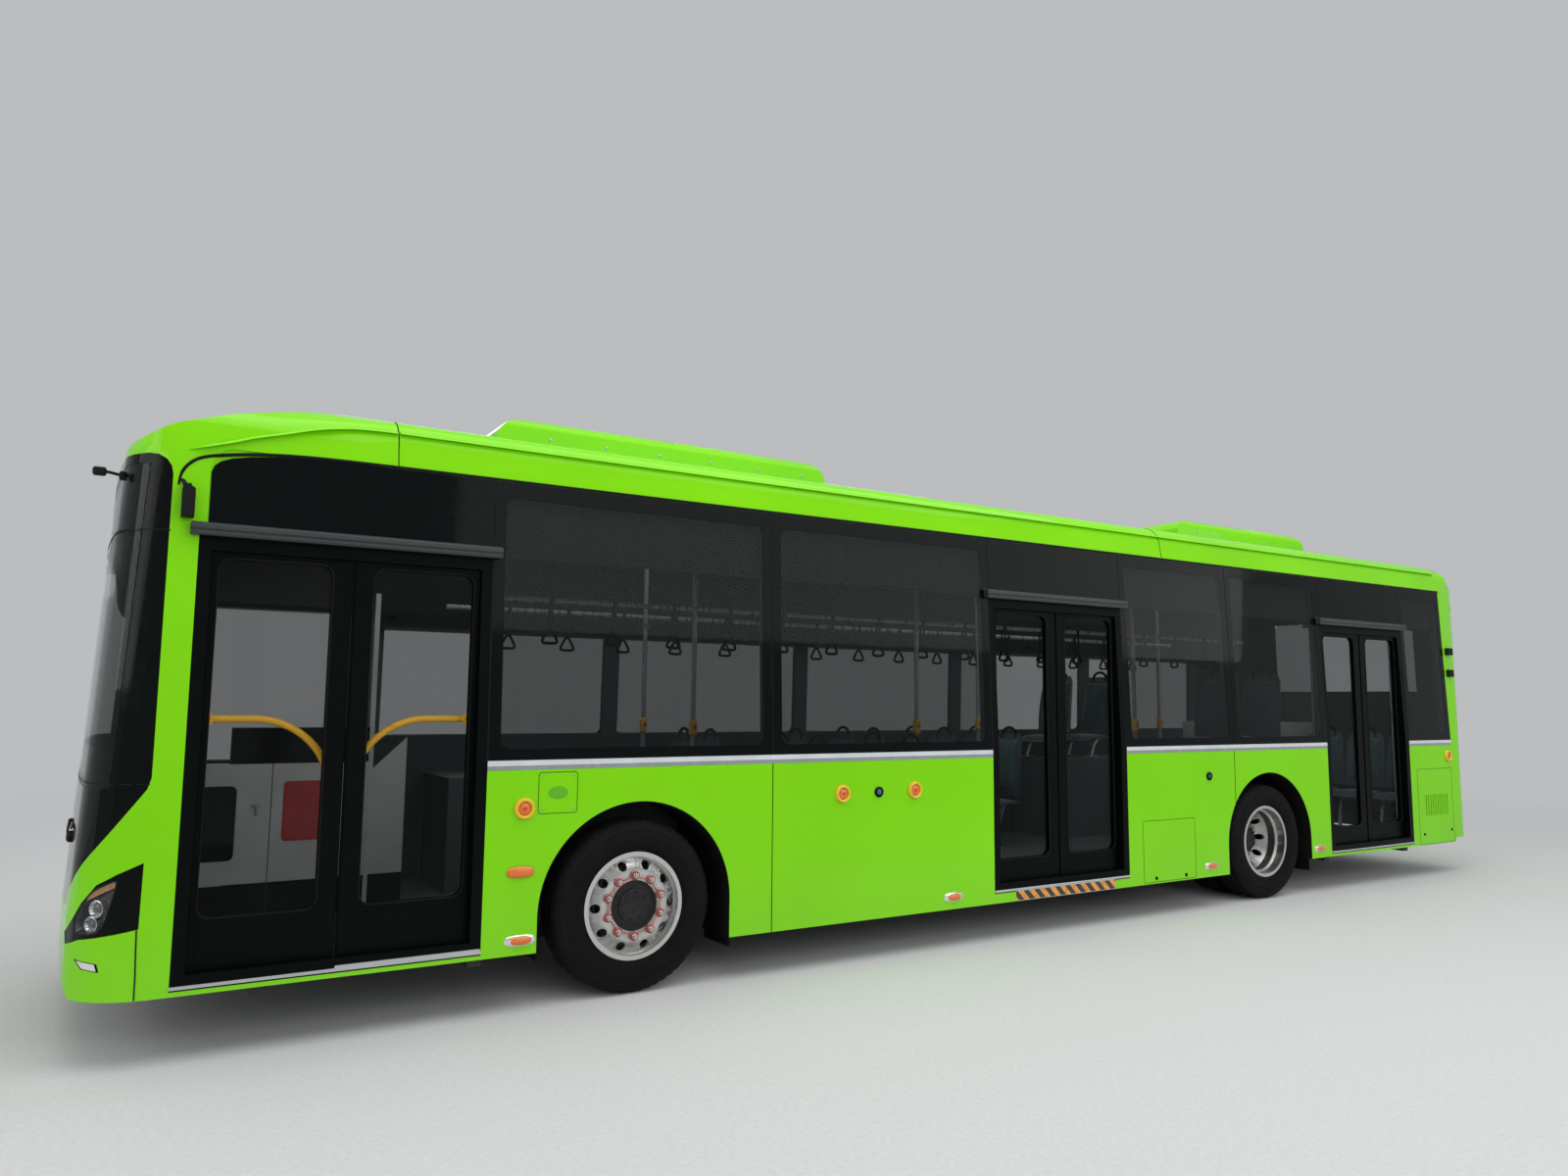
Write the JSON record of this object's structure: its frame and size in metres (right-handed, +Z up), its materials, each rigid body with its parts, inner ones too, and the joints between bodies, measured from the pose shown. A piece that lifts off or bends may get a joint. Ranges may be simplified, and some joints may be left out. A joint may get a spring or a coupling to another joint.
{
  "type": "low-floor city bus",
  "caption": "Low-floor city bus with a hollow seated cabin, inward-gliding doors on turning columns, steered front wheels and fairings on the roof.",
  "frame": {"origin": "bottom centre of the bounding box, on the ground under the middle of the bus", "axes": "+X forward, +Y to the door side, +Z up"},
  "size_m": [12, 2.6, 3.29],
  "materials": {
    "green_paint": "gloss",
    "black_frame": "satin",
    "black_gloss": "gloss",
    "black_plastic": "matte",
    "tinted_glass": "gloss",
    "floor_cover": "matte",
    "dark_steel": "matte",
    "iron": "matte",
    "steel": "satin",
    "grey_paint": "satin",
    "aluminium": "satin",
    "polished_alloy": "polished",
    "seat_fabric": "woven",
    "dash_plastic": "matte",
    "screen_panel": "satin",
    "lens": "gloss",
    "rubber": "matte",
    "tyre": "matte"
  },
  "bodies": {
    "body": {"floor": "floor_cover", "underframe": "dark_steel", "left_side": "green_paint", "right_side": "green_paint", "roof": "green_paint", "front_cap": "green_paint", "front_panel": "green_paint", "front_mask": "black_gloss", "windscreen": "tinted_glass", "rear_end": "green_paint", "windows": "tinted_glass", "roof_units": "green_paint", "door_portals": "black_frame", "door_guides": "steel", "door_gutters": "aluminium", "sign_box": "black_plastic", "dash": "dash_plastic", "steering_wheel": "black_plastic", "driver_screen": "screen_panel", "seats": "seat_fabric", "grab_rails": "grey_paint", "axles": "iron", "power_unit": "dark_steel", "lamps": "lens", "mirror_cameras": "black_plastic", "wipers": "black_plastic", "mudflaps": "rubber"},
    "knuckle_left": {"knuckle_left": "iron"},
    "knuckle_right": {"knuckle_right": "iron"},
    "front_left_wheel": {"front_left_tyre": "tyre", "front_left_rim": "polished_alloy"},
    "front_right_wheel": {"front_right_tyre": "tyre", "front_right_rim": "polished_alloy"},
    "rear_left_wheels": {"rear_left_tyres": "tyre", "rear_left_rims": "polished_alloy"},
    "rear_right_wheels": {"rear_right_tyres": "tyre", "rear_right_rims": "polished_alloy"},
    "door1_front_column": {"door1_front_column": "grey_paint"},
    "door1_front_leaf": {"door1_front_leaf": "black_frame", "door1_front_glass": "tinted_glass"},
    "door1_rear_column": {"door1_rear_column": "grey_paint"},
    "door1_rear_leaf": {"door1_rear_leaf": "black_frame", "door1_rear_glass": "tinted_glass"},
    "door2_front_column": {"door2_front_column": "grey_paint"},
    "door2_front_leaf": {"door2_front_leaf": "black_frame", "door2_front_glass": "tinted_glass"},
    "door2_rear_column": {"door2_rear_column": "grey_paint"},
    "door2_rear_leaf": {"door2_rear_leaf": "black_frame", "door2_rear_glass": "tinted_glass"},
    "door3_front_column": {"door3_front_column": "grey_paint"},
    "door3_front_leaf": {"door3_front_leaf": "black_frame", "door3_front_glass": "tinted_glass"},
    "door3_rear_column": {"door3_rear_column": "grey_paint"},
    "door3_rear_leaf": {"door3_rear_leaf": "black_frame", "door3_rear_glass": "tinted_glass"}
  },
  "joints": [
    {"name": "steer_left", "type": "hinge", "parent": "body", "child": "knuckle_left", "pos_m": [3.28, 0.905, 0.479], "axis": [0, 0, 1], "range_deg": [-42, 42]},
    {"name": "steer_right", "type": "hinge", "parent": "body", "child": "knuckle_right", "pos_m": [3.28, -0.905, 0.479], "axis": [0, 0, 1], "range_deg": [-42, 42]},
    {"name": "spin_front_left", "type": "hinge", "parent": "knuckle_left", "child": "front_left_wheel", "pos_m": [3.28, 1.082, 0.479], "axis": [0, 1, 0], "continuous": true},
    {"name": "spin_front_right", "type": "hinge", "parent": "knuckle_right", "child": "front_right_wheel", "pos_m": [3.28, -1.082, 0.479], "axis": [0, 1, 0], "continuous": true},
    {"name": "spin_rear_left", "type": "hinge", "parent": "body", "child": "rear_left_wheels", "pos_m": [-2.6, 0.9265, 0.479], "axis": [0, 1, 0], "continuous": true},
    {"name": "spin_rear_right", "type": "hinge", "parent": "body", "child": "rear_right_wheels", "pos_m": [-2.6, -0.9265, 0.479], "axis": [0, 1, 0], "continuous": true},
    {"name": "door1_front_turn", "type": "hinge", "parent": "body", "child": "door1_front_column", "pos_m": [5.52357, 1.119, 0.34], "axis": [0, 0, 1], "range_deg": [0, 90]},
    {"name": "door1_front_fold", "type": "hinge", "parent": "door1_front_column", "child": "door1_front_leaf", "pos_m": [5.1845, 1.174, 0.34], "axis": [0, 0, 1], "range_deg": [-180, 0]},
    {"name": "door1_rear_turn", "type": "hinge", "parent": "body", "child": "door1_rear_column", "pos_m": [4.18643, 1.119, 0.34], "axis": [0, 0, -1], "range_deg": [0, 90]},
    {"name": "door1_rear_fold", "type": "hinge", "parent": "door1_rear_column", "child": "door1_rear_leaf", "pos_m": [4.5255, 1.174, 0.34], "axis": [0, 0, -1], "range_deg": [-180, 0]},
    {"name": "door2_front_turn", "type": "hinge", "parent": "body", "child": "door2_front_column", "pos_m": [0.56357, 1.119, 0.34], "axis": [0, 0, 1], "range_deg": [0, 90]},
    {"name": "door2_front_fold", "type": "hinge", "parent": "door2_front_column", "child": "door2_front_leaf", "pos_m": [0.2245, 1.174, 0.34], "axis": [0, 0, 1], "range_deg": [-180, 0]},
    {"name": "door2_rear_turn", "type": "hinge", "parent": "body", "child": "door2_rear_column", "pos_m": [-0.77357, 1.119, 0.34], "axis": [0, 0, -1], "range_deg": [0, 90]},
    {"name": "door2_rear_fold", "type": "hinge", "parent": "door2_rear_column", "child": "door2_rear_leaf", "pos_m": [-0.4345, 1.174, 0.34], "axis": [0, 0, -1], "range_deg": [-180, 0]},
    {"name": "door3_front_turn", "type": "hinge", "parent": "body", "child": "door3_front_column", "pos_m": [-3.51643, 1.119, 0.34], "axis": [0, 0, 1], "range_deg": [0, 90]},
    {"name": "door3_front_fold", "type": "hinge", "parent": "door3_front_column", "child": "door3_front_leaf", "pos_m": [-3.8555, 1.174, 0.34], "axis": [0, 0, 1], "range_deg": [-180, 0]},
    {"name": "door3_rear_turn", "type": "hinge", "parent": "body", "child": "door3_rear_column", "pos_m": [-4.85357, 1.119, 0.34], "axis": [0, 0, -1], "range_deg": [0, 90]},
    {"name": "door3_rear_fold", "type": "hinge", "parent": "door3_rear_column", "child": "door3_rear_leaf", "pos_m": [-4.5145, 1.174, 0.34], "axis": [0, 0, -1], "range_deg": [-180, 0]}
  ],
  "couplings": [
    {"joint": "steer_right", "follows": "steer_left", "ratio": 1},
    {"joint": "door1_front_fold", "follows": "door1_front_turn", "ratio": -2},
    {"joint": "door1_rear_turn", "follows": "door1_front_turn", "ratio": 1},
    {"joint": "door1_rear_fold", "follows": "door1_front_turn", "ratio": -2},
    {"joint": "door2_front_fold", "follows": "door2_front_turn", "ratio": -2},
    {"joint": "door2_rear_turn", "follows": "door2_front_turn", "ratio": 1},
    {"joint": "door2_rear_fold", "follows": "door2_front_turn", "ratio": -2},
    {"joint": "door3_front_fold", "follows": "door3_front_turn", "ratio": -2},
    {"joint": "door3_rear_turn", "follows": "door3_front_turn", "ratio": 1},
    {"joint": "door3_rear_fold", "follows": "door3_front_turn", "ratio": -2}
  ]
}
